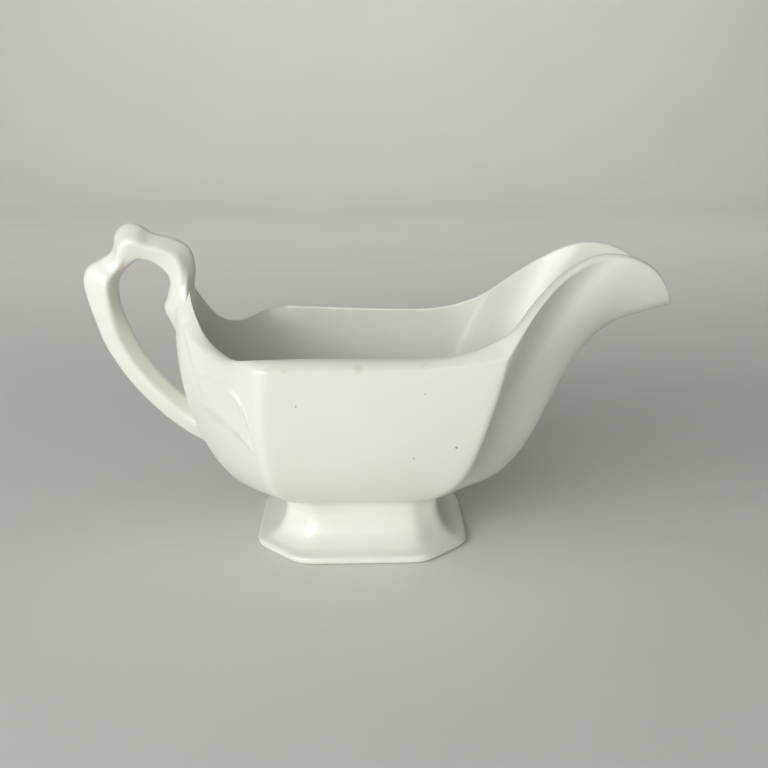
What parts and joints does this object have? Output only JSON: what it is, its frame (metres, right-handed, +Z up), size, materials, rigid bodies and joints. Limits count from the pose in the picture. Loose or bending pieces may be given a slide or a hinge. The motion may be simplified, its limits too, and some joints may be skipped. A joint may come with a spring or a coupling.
{
  "type": "sauce boat",
  "caption": "Footed porcelain cream jug: eight-sided boat-shaped bowl with a rolled lip, tall arched pouring spout, branch-like loop handle, leaf reliefs and an eight-sided pedestal foot.",
  "frame": {"origin": "under the middle of the object's box, on the surface that the foot stands on", "axes": "+X along the length towards the pouring spout, +Y across, to the right of someone who pours, +Z up"},
  "size_m": [0.2126, 0.0906, 0.1171],
  "materials": {
    "bowl_glaze": "glossy warm grey-white glaze, faintly green where it pools inside, with a few tan stains and pinholes",
    "foot_glaze": "glossy white glaze with a fine scratch, dry unglazed ring underneath",
    "handle_glaze": "glossy white glaze, slightly thin and cream on the ridges",
    "leaf_glaze": "glossy white glaze over soft moulded relief",
    "joint_slip": "fired clay slip under glaze"
  },
  "bodies": {
    "root": {"bowl_body": "bowl_glaze", "pedestal_foot": "foot_glaze", "foot_slip": "joint_slip", "handle": "handle_glaze", "handle_upper_slip": "joint_slip", "handle_lower_slip": "joint_slip", "leaf_near": "leaf_glaze", "leaf_far": "leaf_glaze"}
  },
  "joints": []
}
